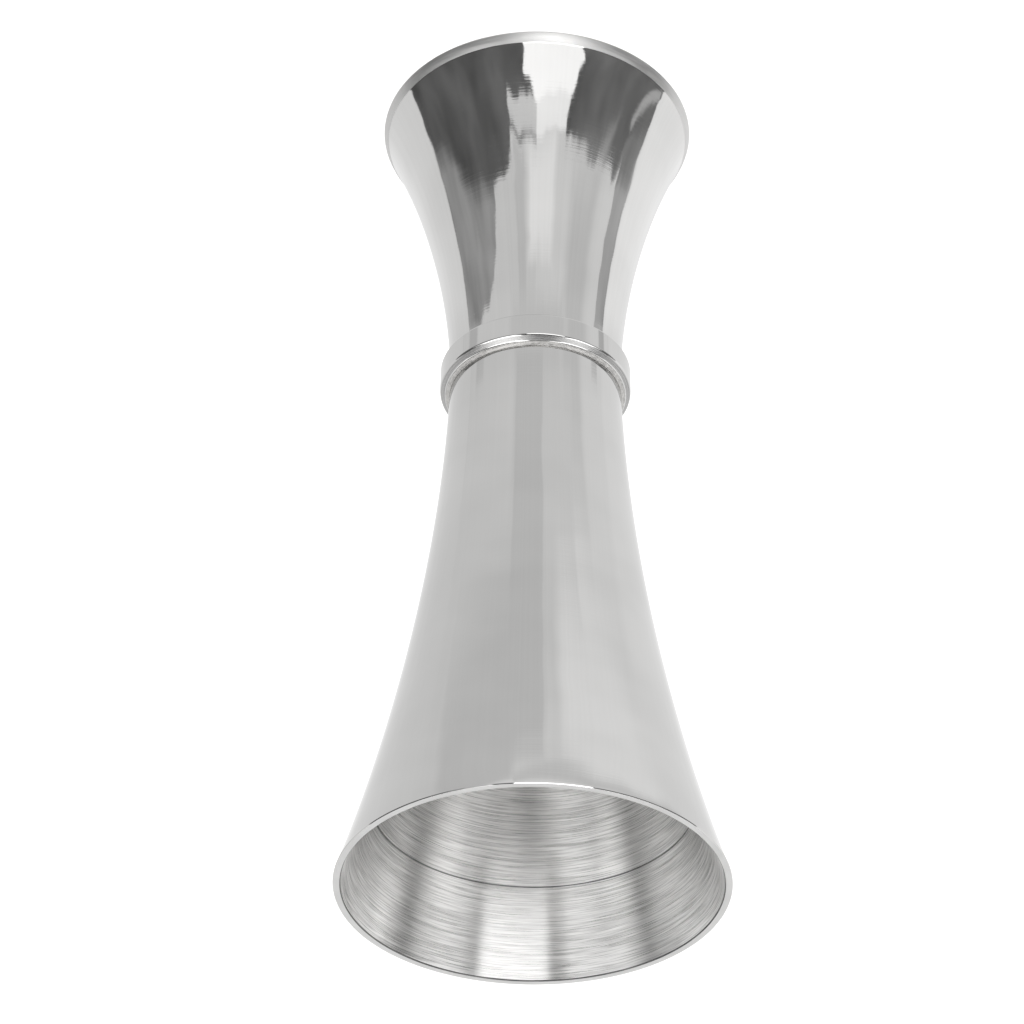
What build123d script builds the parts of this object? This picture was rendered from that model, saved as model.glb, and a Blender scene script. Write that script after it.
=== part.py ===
"""Bar jigger: two bell-shaped measuring cups joined bottom to bottom inside a narrow waist band.

Frame: the jigger stands on the mouth of its small cup. +Z is up along its axis, and the origin is
the centre of the base, in the plane of the small cup's rim. Millimetres.
"""
from build123d import *
from math import cos, radians, sin
import os

# Driving dimensions
wall = 0.9                      # sheet thickness of both cups
neck_radius = 10.95             # outside of both cups where they enter the band
neck_taper = 1.7                # degrees between the wall and the axis at the band

small_mouth_radius = 20.6       # outside of the small rim, which is the base
small_cup_length = 40.7         # from the rim to the band
small_flare = 28.8              # degrees between the wall and the axis at the rim
small_flare_pull = 4.9          # how far the flare runs before the wall turns in
small_neck_pull = 19.4          # how far the slim part runs before the wall widens

large_mouth_radius = 23.25
large_cup_length = 72.7
large_flare = 19.4
large_flare_pull = 5.65
large_neck_pull = 36.6

outer_corner = 1.2              # outside rounding of each closed end
inner_corner = 3.0              # inside rounding, easy to rinse
rim_break = 0.08                # deburred edges of both rims

line_depth = 11.1               # from the large rim down to the engraved fill line
line_width = 0.3
line_cut = 0.12                 # how deep the line goes into the wall

band_radius = 12.2              # the polished cylinder of the waist band
band_height = 3.1
shoulder_height = 0.6           # plain turned shoulder above and below the cylinder
shoulder_drop = 0.73            # how far a shoulder falls towards the cup

joint_gap = 0.2                 # brazing alloy between the two closed ends
joint_reach = 1.0               # how far the alloy climbs beside each rounded end
bead_height = 0.5               # fillet of alloy at each end of the band
bead_hollow = 0.6               # radius of a fillet's hollow face
bead_tip = 0.1                  # how far a fillet's thin edge stands off the neck

# Heights along the axis
band_bottom = small_cup_length
band_top = band_bottom + band_height
joint_z = (band_bottom + band_top) / 2
height = band_top + large_cup_length
small_end = joint_z - joint_gap / 2
large_end = joint_z + joint_gap / 2
line_z = height - line_depth
ring_bottom = band_bottom - shoulder_height
ring_top = band_top + shoulder_height
ring_end_radius = band_radius - shoulder_drop
bead_tip_radius = neck_radius + bead_tip


def bell_face(depth, mouth_radius, mouth_z, neck_z, end_z, flare, flare_pull, neck_pull):
    """Half section of a solid bell whose skin lies depth inside the cup's outside."""
    away = 1 if neck_z > mouth_z else -1
    mouth = Vector(mouth_radius - depth, mouth_z)
    neck = Vector(neck_radius - depth, neck_z)
    flare_arm = Vector(-sin(radians(flare)), away * cos(radians(flare))) * flare_pull
    neck_arm = Vector(sin(radians(neck_taper)), -away * cos(radians(neck_taper))) * neck_pull
    with BuildSketch(Plane.XZ) as face:
        with BuildLine():
            skin = Bezier(mouth, mouth + flare_arm, neck + neck_arm, neck)
            Polyline(skin @ 1, (neck.X, end_z), (0, end_z), (0, mouth_z), skin @ 0)
        make_face()
    return face.sketch


def large_bell(depth, end_z):
    """Section of the large cup's bell, depth inside its outside, closed at end_z."""
    return bell_face(depth, large_mouth_radius, height, band_top, end_z,
                     large_flare, large_flare_pull, large_neck_pull)


def small_bell(depth, end_z):
    """Section of the small cup's bell, depth inside its outside, closed at end_z."""
    return bell_face(depth, small_mouth_radius, 0, band_bottom, end_z,
                     small_flare, small_flare_pull, small_neck_pull)


def finish(piece, name):
    """Name a finished piece and write it."""
    piece.part.label = name
    export_step(piece.part, "parts/" + name + ".step")


os.makedirs("parts", exist_ok=True)

# Outside of the large cup, solid
with BuildPart() as large_core:
    revolve(large_bell(0, large_end), axis=Axis.Z)
    fillet(large_core.edges().sort_by(Axis.Z)[0], outer_corner)

# Inside of the large cup, with the engraved fill line as a thin ring around it
with BuildPart() as large_hollow:
    revolve(large_bell(wall - line_cut, large_end + wall), axis=Axis.Z)
    with Locations((0, 0, line_z)):
        Cylinder(large_mouth_radius, line_width, mode=Mode.INTERSECT)
    revolve(large_bell(wall, large_end + wall), axis=Axis.Z)
    fillet(large_hollow.edges().sort_by(Axis.Z)[0], inner_corner)

# Outside of the small cup, solid
with BuildPart() as small_core:
    revolve(small_bell(0, small_end), axis=Axis.Z)
    fillet(small_core.edges().sort_by(Axis.Z)[-1], outer_corner)

# Inside of the small cup
with BuildPart() as small_hollow:
    revolve(small_bell(wall, small_end - wall), axis=Axis.Z)
    fillet(small_hollow.edges().sort_by(Axis.Z)[-1], inner_corner)

# Large cup: the upper bell, mouth up
with BuildPart() as large_cup:
    add(large_core.part)
    add(large_hollow.part, mode=Mode.SUBTRACT)
    chamfer(large_cup.faces().sort_by(Axis.Z)[-1].edges(), rim_break)
finish(large_cup, "large_cup")

# Small cup: the lower bell, mouth down
with BuildPart() as small_cup:
    add(small_core.part)
    add(small_hollow.part, mode=Mode.SUBTRACT)
    chamfer(small_cup.faces().sort_by(Axis.Z)[0].edges(), rim_break)
finish(small_cup, "small_cup")

# Brazed joint: alloy between the two closed ends and around their rounded edges
with BuildPart() as brazed_joint:
    with Locations((0, 0, joint_z)):
        Cylinder(neck_radius, joint_gap + 2 * joint_reach)
    add(large_core.part, mode=Mode.SUBTRACT)
    add(small_core.part, mode=Mode.SUBTRACT)
finish(brazed_joint, "brazed_joint")

# Waist band: a turned ring over both closed ends, polished outside, with plain shoulders
with BuildPart() as waist_band:
    with BuildSketch(Plane.XZ):
        with BuildLine():
            Polyline(
                (0, ring_bottom),
                (ring_end_radius, ring_bottom),
                (band_radius, band_bottom),
                (band_radius, band_top),
                (ring_end_radius, ring_top),
                (0, ring_top),
                close=True,
            )
        make_face()
    revolve(axis=Axis.Z)
    add(large_core.part, mode=Mode.SUBTRACT)
    add(small_core.part, mode=Mode.SUBTRACT)
    with Locations((0, 0, joint_z)):
        Cylinder(neck_radius, band_height, mode=Mode.SUBTRACT)
finish(waist_band, "waist_band")

# Upper bead: hollow-faced fillet of alloy between the band and the large cup
with BuildPart() as upper_bead:
    with BuildSketch(Plane.XZ):
        with BuildLine():
            hollow = RadiusArc((ring_end_radius, ring_top), (bead_tip_radius, ring_top + bead_height),
                               bead_hollow)
            Polyline(hollow @ 1, (0, ring_top + bead_height), (0, ring_top), hollow @ 0)
        make_face()
    revolve(axis=Axis.Z)
    add(large_core.part, mode=Mode.SUBTRACT)
finish(upper_bead, "upper_bead")

# Lower bead: the same between the band and the small cup
with BuildPart() as lower_bead:
    with BuildSketch(Plane.XZ):
        with BuildLine():
            hollow = RadiusArc((ring_end_radius, ring_bottom), (bead_tip_radius, ring_bottom - bead_height),
                               -bead_hollow)
            Polyline(hollow @ 1, (0, ring_bottom - bead_height), (0, ring_bottom), hollow @ 0)
        make_face()
    revolve(axis=Axis.Z)
    add(small_core.part, mode=Mode.SUBTRACT)
finish(lower_bead, "lower_bead")
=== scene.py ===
"""Bar jigger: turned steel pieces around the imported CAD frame, on a pale floor in a soft studio.

Metres, in the row frame: +Z up, the jigger stands on its small cup, origin at the centre of its base.
"""
from math import cos, pi, radians, sin

import bmesh
import bpy
from mathutils import Matrix, Vector


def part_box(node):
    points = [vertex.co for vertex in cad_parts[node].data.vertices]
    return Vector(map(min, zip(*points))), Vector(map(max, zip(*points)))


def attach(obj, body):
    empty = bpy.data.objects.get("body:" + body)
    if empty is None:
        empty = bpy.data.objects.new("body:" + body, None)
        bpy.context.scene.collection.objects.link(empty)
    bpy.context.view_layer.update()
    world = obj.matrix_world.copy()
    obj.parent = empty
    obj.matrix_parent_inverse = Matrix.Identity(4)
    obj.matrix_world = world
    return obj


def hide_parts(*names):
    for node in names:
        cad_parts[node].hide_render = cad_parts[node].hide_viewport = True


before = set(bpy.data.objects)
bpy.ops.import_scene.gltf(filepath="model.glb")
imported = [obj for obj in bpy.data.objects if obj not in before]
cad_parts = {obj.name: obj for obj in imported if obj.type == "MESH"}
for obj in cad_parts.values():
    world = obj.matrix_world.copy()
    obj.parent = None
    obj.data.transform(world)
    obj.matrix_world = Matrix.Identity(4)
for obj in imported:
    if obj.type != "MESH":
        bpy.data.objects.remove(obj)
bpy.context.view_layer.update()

MM = 0.001
TINY = 1e-8         # lengths below this count as nothing

# ---------------------------------------------------------------- sizes read from the frame
large_low, large_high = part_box("large_cup")
small_low, small_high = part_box("small_cup")
ring_low, ring_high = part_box("waist_band")
joint_low, joint_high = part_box("brazed_joint")
upper_bead_low, upper_bead_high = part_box("upper_bead")
lower_bead_low, lower_bead_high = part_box("lower_bead")


def box_radius(low, high):
    """Radius of a round node that fits inside its box both ways."""
    return min(high.x, -low.x, high.y, -low.y)


height = large_high.z
large_radius = box_radius(large_low, large_high)
small_radius = box_radius(small_low, small_high)
band_radius = box_radius(ring_low, ring_high)
neck_radius = box_radius(joint_low, joint_high)
bead_radius = box_radius(upper_bead_low, upper_bead_high)

# ---------------------------------------------------------------- sizes of the design
WALL = 0.9 * MM
NECK_TAPER = radians(1.7)
LARGE_SHAPE = (radians(19.4), 5.65 * MM, 36.6 * MM)     # flare at the rim, its pull, the neck's pull
SMALL_SHAPE = (radians(28.8), 4.9 * MM, 19.4 * MM)
OUTER_CORNER = 1.2 * MM
INNER_CORNER = 3.0 * MM
RIM_BREAK = 0.08 * MM
RIM_ROUND = 0.14 * MM                            # the polishing rounds the rims off a little more
RIM_CLEAR = 2 * RIM_ROUND                        # how far from the rim the plain skins start
RIM_CUT, RIM_LEAN = 0.13 * MM, 0.77              # the large rim's outer edge is cut off flat instead
LIP_HEIGHT, LIP_SWELL = 1.3 * MM, 0.05 * MM      # the ground lip round the small mouth
LINE_DEPTH, LINE_WIDTH, LINE_CUT = 11.1 * MM, 0.3 * MM, 0.12 * MM
SHOULDER_HEIGHT = 0.6 * MM
EDGE_BREAK = 0.13 * MM
BEAD_TIP = 0.1 * MM
BEAD_SHOWN = 0.6          # the share of a fillet's height that stands clear of the polish

band_bottom = ring_low.z + SHOULDER_HEIGHT
band_top = ring_high.z - SHOULDER_HEIGHT

SEGMENTS = 320
SKIN_STEPS = 90
ROUND_STEPS = 8
HOLD = 1.3                # a flat is held by a point this many corner sizes from the corner
FLAT_END = 0.15           # and a cut edge by points this share of its width from its ends

POLISHED, SATIN, BRUSHED, SHADED_CUT = range(4)       # places in a cup's list of materials; the last is a cut painted near black as painted shade
BAND_POLISHED, BAND_TURNED = range(2)               # and in the band's


# ---------------------------------------------------------------- outlines
# A cup's outline is a list of (radius, depth) points, depth measured from its own rim.
def bezier(points, steps):
    """Points along a Bezier curve with three or four control points."""
    curve = []
    for i in range(steps + 1):
        level, t = [Vector(p) for p in points], i / steps
        while len(level) > 1:
            level = [a.lerp(b, t) for a, b in zip(level, level[1:])]
        curve.append(level[0])
    return curve


def bell(mouth_radius, neck, neck_depth, shape):
    """The curved wall of a cup from its mouth to its neck."""
    flare, flare_pull, neck_pull = shape
    first = (mouth_radius - flare_pull * sin(flare), flare_pull * cos(flare))
    last = (neck + neck_pull * sin(NECK_TAPER), neck_depth - neck_pull * cos(NECK_TAPER))
    return bezier([(mouth_radius, 0), first, last, (neck, neck_depth)], SKIN_STEPS)


def eased(before, corner, after, size):
    """A corner rounded off over size along both sides, with a point beyond each end to hold the flats."""
    corner = Vector(corner)
    back = (Vector(before) - corner).normalized()
    on = (Vector(after) - corner).normalized()
    curve = bezier([corner + back * size, corner, corner + on * size], ROUND_STEPS)
    return [corner + back * size * HOLD] + curve + [corner + on * size * HOLD]


def chamfered(before, corner, after, size, lean):
    """A corner cut off flat: size back along one side, and lean times that along the other."""
    corner = Vector(corner)
    back = (Vector(before) - corner).normalized() * size
    on = (Vector(after) - corner).normalized() * size * lean
    start, end = corner + back, corner + on
    flat = [start, start.lerp(end, FLAT_END), start.lerp(end, 1 - FLAT_END), end]
    return [corner + back * HOLD] + flat + [corner + on * HOLD]


def at_depth(curve, depth):
    """The point of an outline at a depth."""
    for a, b in zip(curve, curve[1:]):
        if min(a[1], b[1]) <= depth <= max(a[1], b[1]):
            return a.lerp(b, (depth - a[1]) / (b[1] - a[1]))
    raise ValueError("the outline doesn't reach that depth")


def engraved(curve, depth):
    """The curve, running away from the rim, with the fill line's groove in it, and the groove's far side."""
    half, soft = LINE_WIDTH / 2, LINE_WIDTH / 8
    # Distances from the middle of the groove, with the share of its cut reached there.
    side = [(half + soft, 0), (half, 0), (half - soft / 2, 0.15), (half - soft, 0.85), (half - 2 * soft, 1)]
    groove = [(-s, share) for s, share in side] + [(s, share) for s, share in reversed(side)]
    line = []
    for s, share in groove:
        point = at_depth(curve, depth + s)
        line.append(Vector((point[0] + share * LINE_CUT, point[1])))
    before = [p for p in curve if p[1] < depth - half - 2 * soft]
    after = [p for p in curve if p[1] > depth + half + 2 * soft]
    return before + line + after, line[len(side) + 1:]


def lipped(skin):
    """The small cup's skin with its last stretch swelled into a ground lip: the lip, and the skin above."""
    foot = at_depth(skin, LIP_HEIGHT)
    edge = skin[0]
    out = Vector((foot[1] - edge[1], edge[0] - foot[0])).normalized()
    middle = edge.lerp(foot, 0.5) + out * LIP_SWELL * 2
    lip = bezier([edge, middle, foot], 2 * ROUND_STEPS)
    return lip, [foot] + [p for p in skin if p[1] > LIP_HEIGHT]


def closed_end(end_depth):
    """The outside of a cup's closed end, from the axis to the start of its skin."""
    corner = (neck_radius, end_depth)
    return [Vector((0, end_depth))] + eased((0, end_depth), corner, (neck_radius, 0), OUTER_CORNER)


def well(floor_depth):
    """The bottom of a cup's inside, from its wall to the axis."""
    radius = neck_radius - WALL
    corner = (radius, floor_depth)
    return eased((radius, 0), corner, (0, floor_depth), INNER_CORNER) + [Vector((0, floor_depth))]


def cup_sections(radius, neck_depth, end_depth, shape, line_depth=None, lip=False):
    """A cup's outline, from its closed end out to the rim and back in, in stretches with their materials."""
    mouth = radius + RIM_BREAK * sin(shape[0])
    skin = bell(mouth, neck_radius, neck_depth, shape)
    lining = bell(mouth - WALL, neck_radius - WALL, neck_depth, shape)
    edge_lip, dark = [], []
    if line_depth is not None:
        lining, dark = engraved(lining, line_depth)
    if lip:
        edge_lip, skin = lipped(skin)
    corner = (edge_lip or skin)[0]
    towards = (edge_lip or skin)[3]
    if lip:
        outer_edge = eased(towards, corner, (0, corner[1]), RIM_ROUND)
    else:
        outer_edge = chamfered(towards, corner, (0, corner[1]), RIM_CUT, RIM_LEAN)
    inner_edge = eased(corner, corner - Vector((WALL, 0)), lining[3], RIM_ROUND)
    half = len(inner_edge) // 2

    outside = closed_end(end_depth) + [p for p in reversed(skin) if p[1] > RIM_CLEAR]
    ground = [p for p in reversed(edge_lip) if p[1] > RIM_CLEAR]
    inside = [p for p in lining if p[1] > RIM_CLEAR] + well(end_depth - WALL)
    # The far side of the fill line's groove is painted near black: painted shade in the groove.
    dark = {tuple(p) for p in dark}
    sections = [(outside, POLISHED), (ground, SATIN), (outer_edge, SATIN if lip else POLISHED)]
    # The inner half of each rim's inner edge is painted near black: a painted shade line along the rim.
    sections += [(inner_edge[:half], SATIN), (inner_edge[half:], SHADED_CUT)]
    return sections + [([p], SHADED_CUT if tuple(p) in dark else BRUSHED) for p in inside]


def ring_sections():
    """The waist band: a polished cylinder and edges, with plain turned shoulders between them."""
    low_end = (bead_radius, ring_low.z)
    low_edge = (band_radius, band_bottom)
    high_edge = (band_radius, band_top)
    high_end = (bead_radius, ring_high.z)
    bore_low = (neck_radius, ring_low.z)
    bore_high = (neck_radius, ring_high.z)
    end_low = [Vector(bore_low)] + eased(bore_low, low_end, low_edge, EDGE_BREAK)
    edge_low = eased(low_end, low_edge, high_edge, EDGE_BREAK)
    edge_high = eased(low_edge, high_edge, high_end, EDGE_BREAK)
    end_high = eased(high_edge, high_end, bore_high, EDGE_BREAK) + [Vector(bore_high)]
    sections = [(end_low, BAND_POLISHED), (edge_low[:1], BAND_TURNED)]
    sections += [(edge_low[1:] + edge_high, BAND_POLISHED)]
    return sections + [(end_high[:1], BAND_TURNED), (end_high[1:], BAND_POLISHED)]


def bead_sections(foot_z, tip_z):
    """A fillet's outline: a hollow face from the band's end to its thin edge on the cup."""
    tip_z = foot_z + (tip_z - foot_z) * BEAD_SHOWN
    foot, tip = Vector((bead_radius, foot_z)), Vector((neck_radius + BEAD_TIP, tip_z))
    inner = Vector((neck_radius + BEAD_TIP, foot_z))
    hollow = bezier([foot, foot.lerp(tip, 0.5).lerp(inner, 0.4), tip], ROUND_STEPS)
    return [(hollow + [Vector((neck_radius, tip_z)), Vector((neck_radius, foot_z))], 0)]


# ---------------------------------------------------------------- mesh of revolution
def turn_outwards(mesh):
    """Flip a closed mesh whose faces look inwards."""
    shell = bmesh.new()
    shell.from_mesh(mesh)
    if shell.calc_volume(signed=True) < 0:
        bmesh.ops.reverse_faces(shell, faces=shell.faces[:])
    shell.to_mesh(mesh)
    shell.free()
    mesh.update()


def lathe(name, sections, materials, rim_z=0, up=1):
    """A closed solid of revolution about Z. A point's depth runs down from rim_z, or up if up is -1."""
    outline, numbers = [], []
    for points, number in sections:
        for p in points:
            if outline and (p - outline[-1]).length < TINY:
                continue
            outline.append(Vector(p))
            numbers.append(number)
    vertices, rings = [], []
    for p in outline:
        z = rim_z - up * p[1]
        start = len(vertices)
        if p[0] < TINY:
            vertices.append((0, 0, z))
            rings.append([start] * SEGMENTS)
        else:
            for k in range(SEGMENTS):
                turn = 2 * pi * k / SEGMENTS
                vertices.append((p[0] * cos(turn), p[0] * sin(turn), z))
            rings.append(list(range(start, start + SEGMENTS)))
    faces, painted = [], []
    hollow = outline[0][0] > TINY
    pairs = list(zip(rings, rings[1:])) + ([(rings[-1], rings[0])] if hollow else [])
    for (low, high), number in zip(pairs, numbers[1:] + numbers[:1]):
        for k in range(SEGMENTS):
            n = (k + 1) % SEGMENTS
            faces.append(list(dict.fromkeys([low[k], low[n], high[n], high[k]])))
            painted.append(number)
    mesh = bpy.data.meshes.new(name)
    mesh.from_pydata(vertices, [], faces)
    for material in materials:
        mesh.materials.append(material)
    mesh.polygons.foreach_set("material_index", painted)
    mesh.polygons.foreach_set("use_smooth", [True] * len(faces))
    turn_outwards(mesh)
    piece = bpy.data.objects.new(name, mesh)
    bpy.context.scene.collection.objects.link(piece)
    return piece


# ---------------------------------------------------------------- node helpers
class Nodes:
    """Short ways to add and join nodes in one tree."""

    def __init__(self, tree):
        self.tree = tree
        tree.nodes.clear()

    def add(self, kind, **settings):
        node = self.tree.nodes.new(kind)
        for key, value in settings.items():
            setattr(node, key, value)
        return node

    def link(self, source, socket):
        if isinstance(source, (int, float, tuple)):
            socket.default_value = source
        else:
            self.tree.links.new(source, socket)

    def math(self, operation, *values):
        node = self.add("ShaderNodeMath", operation=operation)
        for value, socket in zip(values, node.inputs):
            self.link(value, socket)
        return node.outputs[0]

    def ramp(self, value, low, high, to_low=0.0, to_high=1.0, smooth=True):
        """value mapped from low..high to to_low..to_high, held beyond both ends."""
        node = self.add("ShaderNodeMapRange", interpolation_type="SMOOTHSTEP" if smooth else "LINEAR")
        for source, socket in zip((value, low, high, to_low, to_high), node.inputs):
            self.link(source, socket)
        return node.outputs[0]

    def mixed(self, first, second, share):
        """first where share is 0, and second where it is 1."""
        node = self.add("ShaderNodeMix")
        self.link(share, node.inputs[0])
        self.link(first, node.inputs[2])
        self.link(second, node.inputs[3])
        return node.outputs[0]

    def noise(self, vector, scale, detail=3.0, roughness=0.5):
        node = self.add("ShaderNodeTexNoise")
        self.link(vector, node.inputs["Vector"])
        node.inputs["Scale"].default_value = scale
        node.inputs["Detail"].default_value = detail
        node.inputs["Roughness"].default_value = roughness
        return node.outputs["Fac"]

    def stretched(self, along, across):
        """Object coordinates in which a pattern runs round the axis: along its rings, across their height."""
        place = self.add("ShaderNodeTexCoord").outputs["Object"]
        mapping = self.add("ShaderNodeMapping")
        self.link(place, mapping.inputs["Vector"])
        mapping.inputs["Scale"].default_value = (along, along, across)
        return mapping.outputs["Vector"]

    def bump(self, height_value, distance, strength=1.0, normal=None):
        node = self.add("ShaderNodeBump")
        node.inputs["Distance"].default_value = distance
        node.inputs["Strength"].default_value = strength
        self.link(height_value, node.inputs["Height"])
        if normal is not None:
            self.link(normal, node.inputs["Normal"])
        return node.outputs[0]

    def waver(self, turn, rise, across, up, amount):
        """A slow random value from -amount to amount that changes with a direction's turn and rise."""
        place = self.add("ShaderNodeCombineXYZ")
        self.link(self.math("MULTIPLY", turn, across), place.inputs[0])
        self.link(self.math("MULTIPLY", rise, up), place.inputs[1])
        return self.ramp(self.noise(place.outputs[0], 1.0, 2.0), 0.3, 0.7, -amount, amount, smooth=False)

    def inside(self, turn, rise, corners):
        """How far a direction is inside a convex patch, in degrees."""
        middle = [sum(c[i] for c in corners) / len(corners) for i in range(2)]
        nearest = None
        for (a0, e0), (a1, e1) in zip(corners, corners[1:] + corners[:1]):
            run = ((a1 - a0) ** 2 + (e1 - e0) ** 2) ** 0.5
            na, ne = (e1 - e0) / run, (a0 - a1) / run
            if na * (middle[0] - a0) + ne * (middle[1] - e0) < 0:
                na, ne = -na, -ne
            start = self.math("MULTIPLY_ADD", rise, ne, -(na * a0 + ne * e0))
            depth = self.math("MULTIPLY_ADD", turn, na, start)
            nearest = depth if nearest is None else self.math("MINIMUM", nearest, depth)
        return nearest


def new_material(name):
    material = bpy.data.materials.new(name)
    material.use_nodes = True
    nodes = Nodes(material.node_tree)
    shader = nodes.add("ShaderNodeBsdfPrincipled")
    output = nodes.add("ShaderNodeOutputMaterial")
    nodes.link(shader.outputs[0], output.inputs["Surface"])
    return material, nodes, shader


def grey(nodes, value, tint=(1.0, 0.995, 0.985)):
    """A near-neutral colour whose brightness is a value socket."""
    node = nodes.add("ShaderNodeCombineColor")
    for part, socket in zip(tint, node.inputs):
        nodes.link(nodes.math("MULTIPLY", value, part), socket)
    return node.outputs[0]


# ---------------------------------------------------------------- materials
def polished_steel():
    """Mirror-polished stainless steel: faint buffing lines round the axis, and a slight waviness."""
    material, nodes, shader = new_material("polished_steel")
    cloud = nodes.noise(nodes.stretched(60, 90), 1.0, 2.0)
    lines = nodes.noise(nodes.stretched(40, 5000), 1.0, 3.0, 0.6)
    nodes.link(grey(nodes, nodes.ramp(cloud, 0.3, 0.7, 0.60, 0.64)), shader.inputs["Base Color"])
    nodes.link(nodes.ramp(lines, 0.35, 0.75, 0.03, 0.08), shader.inputs["Roughness"])
    waves = nodes.bump(nodes.noise(nodes.stretched(90, 130), 1.0, 1.0), 0.06 * MM)
    nodes.link(nodes.bump(lines, 0.0022 * MM, normal=waves), shader.inputs["Normal"])
    shader.inputs["Metallic"].default_value = 1.0
    return material


def brushed_steel():
    """The inside: lathe-brushed steel with fine lines round the axis."""
    material, nodes, shader = new_material("brushed_steel")
    fine = nodes.noise(nodes.stretched(150, 8500), 1.0, 3.0, 0.6)
    broad = nodes.noise(nodes.stretched(110, 4500), 1.0, 2.0, 0.5)
    streaks = nodes.math("ADD", nodes.math("MULTIPLY", fine, 0.87), nodes.math("MULTIPLY", broad, 0.13))
    nodes.link(grey(nodes, nodes.ramp(streaks, 0.36, 0.64, 0.58, 1.0)), shader.inputs["Base Color"])
    nodes.link(nodes.ramp(streaks, 0.35, 0.65, 0.27, 0.33), shader.inputs["Roughness"])
    nodes.link(nodes.bump(streaks, 0.0025 * MM), shader.inputs["Normal"])
    shader.inputs["Metallic"].default_value = 1.0
    shader.inputs["Anisotropic"].default_value = 1.0
    shader.inputs["Anisotropic Rotation"].default_value = 0.25
    tangent = nodes.add("ShaderNodeTangent", direction_type="RADIAL", axis="Z")
    nodes.link(tangent.outputs[0], shader.inputs["Tangent"])
    return material


def satin_steel():
    """The flat rims and the ground lip: cut and lightly ground, with faint marks round the axis."""
    material, nodes, shader = new_material("satin_steel")
    grain = nodes.noise(nodes.stretched(250, 4000), 1.0, 3.0, 0.5)
    nodes.link(grey(nodes, nodes.ramp(grain, 0.3, 0.7, 0.56, 0.62)), shader.inputs["Base Color"])
    nodes.link(nodes.ramp(grain, 0.3, 0.7, 0.36, 0.44), shader.inputs["Roughness"])
    nodes.link(nodes.bump(grain, 0.0008 * MM), shader.inputs["Normal"])
    shader.inputs["Metallic"].default_value = 1.0
    return material


def turned_steel():
    """The band's shoulders: turned, not polished."""
    material, nodes, shader = new_material("turned_steel")
    lines = nodes.noise(nodes.stretched(120, 14000), 1.0, 3.0, 0.6)
    nodes.link(grey(nodes, nodes.ramp(lines, 0.3, 0.7, 0.30, 0.47)), shader.inputs["Base Color"])
    nodes.link(nodes.ramp(lines, 0.3, 0.7, 0.25, 0.42), shader.inputs["Roughness"])
    nodes.link(nodes.bump(lines, 0.006 * MM), shader.inputs["Normal"])
    shader.inputs["Metallic"].default_value = 1.0
    return material


def shaded_cut_steel():
    """The fill line's groove and the rims' inner edges: a rough cut whose colour is painted near black,
    painted shade in the groove and along the edge.
    """
    material, nodes, shader = new_material("shaded_cut_steel")
    grain = nodes.noise(nodes.stretched(300, 9000), 1.0, 3.0, 0.6)
    nodes.link(grey(nodes, nodes.ramp(grain, 0.3, 0.7, 0.10, 0.2)), shader.inputs["Base Color"])
    nodes.link(nodes.ramp(grain, 0.3, 0.7, 0.4, 0.55), shader.inputs["Roughness"])
    shader.inputs["Metallic"].default_value = 1.0
    return material


def brazing_alloy():
    """Silver brazing alloy as it set, dull and slightly grainy."""
    material, nodes, shader = new_material("brazing_alloy")
    grain = nodes.noise(nodes.stretched(1500, 1500), 1.0, 4.0, 0.6)
    colour = grey(nodes, nodes.ramp(grain, 0.3, 0.7, 0.4, 0.6), (1.0, 0.985, 0.96))
    nodes.link(colour, shader.inputs["Base Color"])
    nodes.link(nodes.ramp(grain, 0.3, 0.7, 0.35, 0.55), shader.inputs["Roughness"])
    nodes.link(nodes.bump(grain, 0.01 * MM), shader.inputs["Normal"])
    shader.inputs["Metallic"].default_value = 1.0
    return material


polished, alloy = polished_steel(), brazing_alloy()
cup_materials = [polished, satin_steel(), brushed_steel(), shaded_cut_steel()]
band_materials = [polished, turned_steel()]


# ---------------------------------------------------------------- pieces
def settle(piece, node):
    """A finished piece rides on the jigger's one body and stands for its CAD node."""
    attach(piece, "root")
    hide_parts(node)


large_outline = cup_sections(
    large_radius, height - band_top, height - large_low.z, LARGE_SHAPE, line_depth=LINE_DEPTH)
large_cup = lathe("large_bell", large_outline, cup_materials, rim_z=height)
settle(large_cup, "large_cup")

small_outline = cup_sections(small_radius, band_bottom, small_high.z, SMALL_SHAPE, lip=True)
small_cup = lathe("small_bell", small_outline, cup_materials, up=-1)
settle(small_cup, "small_cup")

waist_band = lathe("waist_ring", ring_sections(), band_materials, up=-1)
settle(waist_band, "waist_band")

upper_outline = bead_sections(upper_bead_low.z, upper_bead_high.z)
upper_bead = lathe("upper_fillet", upper_outline, [alloy], up=-1)
settle(upper_bead, "upper_bead")

lower_outline = bead_sections(lower_bead_high.z, lower_bead_low.z)
lower_bead = lathe("lower_fillet", lower_outline, [alloy], up=-1)
settle(lower_bead, "lower_bead")

# The joint between the closed ends is hidden, so its CAD node stays as it is.
hidden_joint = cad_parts["brazed_joint"]
hidden_joint.data.materials.clear()
hidden_joint.data.materials.append(alloy)

# ---------------------------------------------------------------- floor
FLOOR_REACH = 40.0              # far beyond the camera's view
FLOOR_DROP = 0.05 * MM          # just under the small rim
FLOOR_BRIGHTNESS = 0.93


def floor_paint():
    """Pale matt paint with faint clouds."""
    material, nodes, shader = new_material("floor_paint")
    cloud = nodes.noise(nodes.add("ShaderNodeTexCoord").outputs["Object"], 6.0, 2.0)
    shade = nodes.ramp(cloud, 0.3, 0.7, FLOOR_BRIGHTNESS * 0.99, FLOOR_BRIGHTNESS)
    nodes.link(grey(nodes, shade), shader.inputs["Base Color"])
    shader.inputs["Roughness"].default_value = 0.6
    return material


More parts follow.
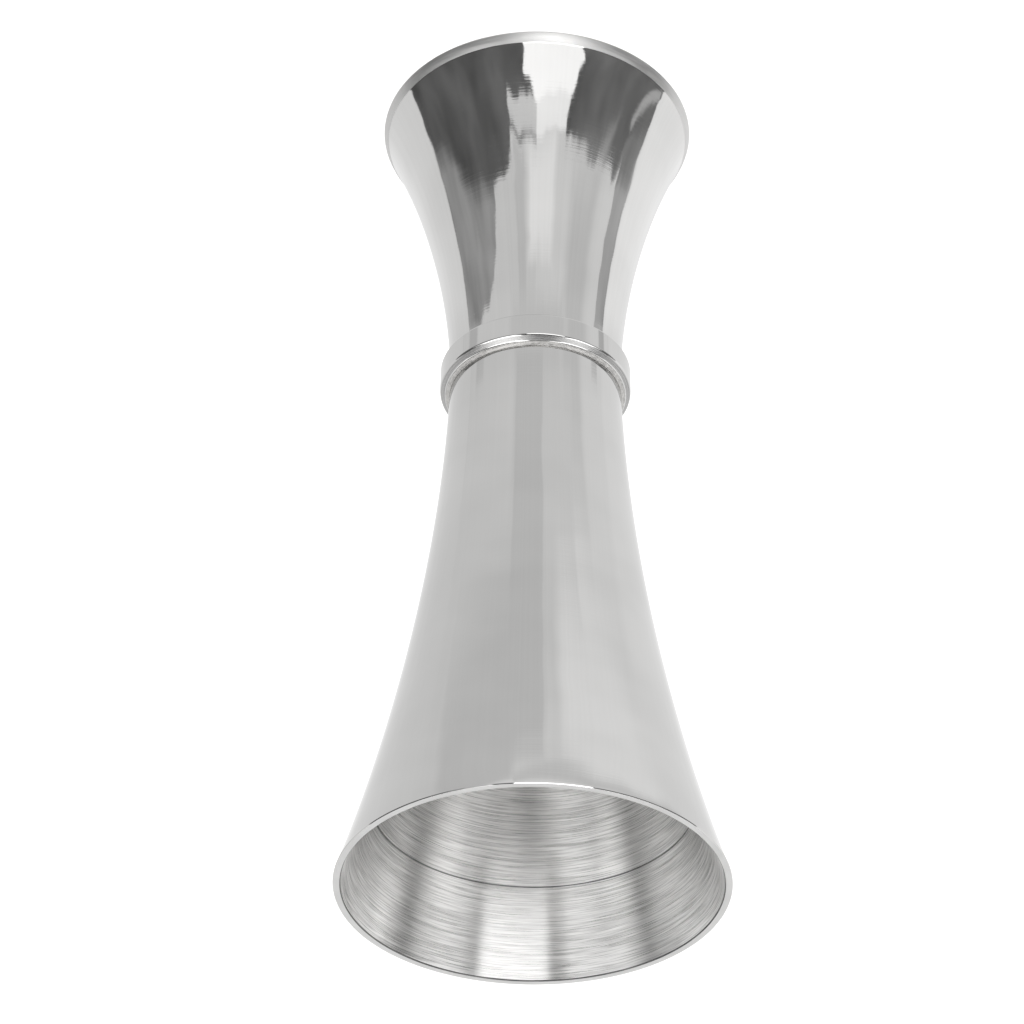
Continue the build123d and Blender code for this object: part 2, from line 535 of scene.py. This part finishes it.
def lay_floor():
    """A plain pale floor, which isn't seen in the steel."""
    reach, z = FLOOR_REACH, -FLOOR_DROP
    corners = [(-reach, -reach, z), (reach, -reach, z), (reach, reach, z), (-reach, reach, z)]
    mesh = bpy.data.meshes.new("floor")
    mesh.from_pydata(corners, [], [(0, 1, 2, 3)])
    mesh.materials.append(floor_paint())
    floor = bpy.data.objects.new("floor", mesh)
    bpy.context.scene.collection.objects.link(floor)
    floor.visible_glossy = False


lay_floor()


# ---------------------------------------------------------------- surroundings
def box(low_turn, high_turn, low_rise, high_rise):
    """The corners of a patch with level and upright edges."""
    return [(low_turn, low_rise), (high_turn, low_rise), (high_turn, high_rise), (low_turn, high_rise)]


# What the steel reflects, in light that is 1 for plain white. A brightness is one number, or a pair for the
# directions -X and +X. Corners are (turn, rise) in degrees: turn from the camera's side towards +X, and rise
# above the horizon. Each patch is (brightness, softness of its edge in degrees, corners) and covers those
# before it.
PANELS = (1.15, 0.9)            # pale panels all round
CEILING = (1.35, 34, 46)        # brightness, and the rises between which it takes over
ROOF = (0.35, 62, 68)
PATCHES = [
    # the lower panels at the sides and behind
    ((0.97, 0.80), 4.0, box(-200, 200, -120, -36)),
    # the dark room in front, between the white side panels, and its paler floor
    ((0.19, 0.135), 0.6, box(-98, 97.5, -44, 64)),
    ((0.53, 0.38), 2.2, box(-98, 97.5, -44, -17.5)),
    ((0.93, 0.77), 1.6, box(-98.8, 98.3, -48, -36)),
    ((0.93, 0.78), 6.0, box(-100, 98, -120, -42)),
    (0.27, 1.2, box(-97, -80, -20, -15)),
    (0.55, 0.6, [(-80, -11), (-97, -8.5), (-97, -11), (-82, -13.5)]),
    # the white table
    (0.90, 0.3, [(23, -9), (-25, -9.3), (-42, -12), (-60, -14.8), (-82, -18), (-82, -44), (23, -44)]),
    (0.83, 0.3, [(23.5, -12), (36, -14.8), (42, -18), (45, -22), (45, -40), (0, -40), (0, -12)]),
    (0.83, 0.3, [(44, -21), (51, -27.5), (51, -40), (30, -40), (30, -21)]),
    (0.83, 0.3, [(50, -27), (59, -31.5), (59, -40), (30, -40), (30, -27)]),
    (0.83, 0.3, [(58, -31), (69, -33.2), (84, -34.5), (84, -40), (30, -40), (30, -31)]),
    # shades and sheen on the table
    (0.74, 1.6, box(12, 21, -38, -10)),
    (1.12, 3.5, box(-17, 8, -25, -9.5)),
    (0.74, 7.0, box(-64, -36, -48, -15)),
    (0.77, 3.5, box(-34, 30, -50, -32)),
    (0.71, 5.0, box(20, 84, -72, -53)),
    (1.0, 3.0, box(-120, -13, -64, -52)),
    (0.80, 8.0, box(-25, 5, -64, -50)),
    (0.82, 4.0, box(-48, 5, -53.5, -44)),
    (0.71, 1.2, box(-9.5, 27, -64.6, -43)),
    (0.95, 1.0, box(-70, 90, -120, -68.5)),
    (0.74, 1.2, [(20, -67.3), (-60, -63.8), (-60, -66.6), (20, -69.8)]),
    (0.75, 1.2, [(-58, -63.8), (-95, -57.8), (-95, -60.4), (-58, -66.4)]),
    (0.76, 1.2, [(-93, -58.3), (-125, -49.3), (-125, -52.4), (-93, -60.9)]),
    # the ends of the dark room beside the table
    (0.64, 1.5, box(76, 88, -41.8, -36)),
    (0.6, 1.2, box(-91, -82, -41.5, -36)),
    # a lamp's shade and a window in the room, then high softboxes
    (0.85, 0.3, box(0, 23, -8, -3.3)),
    (1.28, 0.3, [(0, -3.5), (0, -9.2), (-25, -9.5), (-27, -3.5)]),
    (1.5, 0.3, [(9.5, 10), (9.5, -0.5), (0, -4), (-27, -4), (-33, 2), (-31.5, 6), (-28, 10)]),
    (3.6, 0.8, box(-32, 9.5, 9.5, 25)),
    (1.75, 1.6, box(-79, -43, 18, 60)),
    (1.65, 1.6, box(22, 72, 18, 60)),
    (2.7, 2.0, box(-79, -43, 44, 82)),
    (3.1, 2.0, box(22, 72, 44, 82)),
]
PLAIN_WHITE = (1.1, 1.1, 1.1, 1)


def studio_light(nodes, x, turn, rise):
    """The brightness of the panels, ceiling and patches in a direction."""
    light = nodes.ramp(x, -1.0, 1.0, *PANELS, smooth=False)
    for brightness, low, high in (CEILING, ROOF):
        light = nodes.mixed(light, brightness, nodes.ramp(rise, low, high))
    for brightness, soft, corners in PATCHES:
        if isinstance(brightness, tuple):
            brightness = nodes.ramp(x, -1.0, 1.0, *brightness, smooth=False)
        inside = nodes.ramp(nodes.inside(turn, rise, corners), -soft, soft)
        light = nodes.mixed(light, brightness, inside)
    gloom = nodes.ramp(light, 0.25, 0.7, 1.0, 0.0)
    clouds = nodes.math("MULTIPLY_ADD", nodes.waver(turn, rise, 0.05, 0.07, 0.3), gloom, 1.0)
    return nodes.math("MULTIPLY", light, clouds)


def surroundings():
    """The studio: patches of light and dark for what the steel reflects, plain white for everything else."""
    world = bpy.data.worlds.new("studio")
    world.use_nodes = True
    world.cycles.sampling_method = "NONE"
    bpy.context.scene.world = world
    nodes = Nodes(world.node_tree)
    split = nodes.add("ShaderNodeSeparateXYZ")
    nodes.link(nodes.add("ShaderNodeTexCoord").outputs["Generated"], split.inputs[0])
    x, y, z = split.outputs
    turn = nodes.math("DEGREES", nodes.math("ARCTAN2", x, nodes.math("MULTIPLY", y, -1.0)))
    rise = nodes.math("DEGREES", nodes.math("ARCSINE", z))

    # Edges waver a little, but not in height far below the horizon, where that would streak the large cup.
    streaks = nodes.waver(turn, rise, 0.6, 0.02, 0.02)
    uneven_turn = nodes.math("ADD", turn, nodes.waver(turn, rise, 0.02, 0.3, 1.3))
    lift = nodes.waver(turn, rise, 0.09, 0.05, 1.4)
    uneven_rise = nodes.math("MULTIPLY_ADD", lift, nodes.ramp(rise, -38, -30), rise)

    mirrored = nodes.add("ShaderNodeBackground")
    nodes.link(studio_light(nodes, x, uneven_turn, uneven_rise), mirrored.inputs["Color"])
    nodes.link(nodes.math("ADD", streaks, 1.0), mirrored.inputs["Strength"])
    plain = nodes.add("ShaderNodeBackground")
    plain.inputs["Color"].default_value = PLAIN_WHITE
    which = nodes.add("ShaderNodeMixShader")
    nodes.link(nodes.add("ShaderNodeLightPath").outputs["Is Glossy Ray"], which.inputs[0])
    nodes.link(plain.outputs[0], which.inputs[1])
    nodes.link(mirrored.outputs[0], which.inputs[2])
    output = nodes.add("ShaderNodeOutputWorld")
    nodes.link(which.outputs[0], output.inputs[0])


surroundings()

LAMP_PLACE = (-0.25, 0.25, 1.1)
LAMP_WIDTH = 1.2
LAMP_POWER = 9


def overhead():
    """A large soft lamp that lights the floor but isn't seen in the steel."""
    light = bpy.data.lights.new("overhead", "AREA")
    light.shape = "DISK"
    light.size = LAMP_WIDTH
    light.energy = LAMP_POWER
    light.use_shadow = False
    lamp = bpy.data.objects.new("overhead", light)
    bpy.context.scene.collection.objects.link(lamp)
    lamp.location = LAMP_PLACE
    lamp.rotation_mode = "QUATERNION"
    lamp.rotation_quaternion = (-Vector(LAMP_PLACE)).to_track_quat("-Z", "Y")
    lamp.visible_glossy = False


overhead()

# ---------------------------------------------------------------- camera
CAMERA_DISTANCE, CAMERA_HEIGHT = 360.8 * MM, 324.8 * MM     # from the axis, and above the floor
CAMERA_TILT, CAMERA_TURN, CAMERA_ROLL = radians(36.01), radians(-0.45), radians(180.59)
CAMERA_LENS = 125.7             # millimetres, for Blender's own 36 mm sensor
CAMERA_NEAR = 0.01


def photographer():
    """The camera, hung almost upside down as in the photograph."""
    data = bpy.data.cameras.new("camera")
    data.lens = CAMERA_LENS
    data.clip_start = CAMERA_NEAR
    camera = bpy.data.objects.new("camera", data)
    bpy.context.scene.collection.objects.link(camera)
    look = Matrix.Rotation(CAMERA_TURN, 4, "Z") @ Matrix.Rotation(pi / 2 - CAMERA_TILT, 4, "X")
    place = Matrix.Translation((0, -CAMERA_DISTANCE, CAMERA_HEIGHT))
    camera.matrix_world = place @ look @ Matrix.Rotation(CAMERA_ROLL, 4, "Z")
    return camera


bpy.context.scene.camera = photographer()
bpy.context.scene.view_settings.view_transform = "Standard"
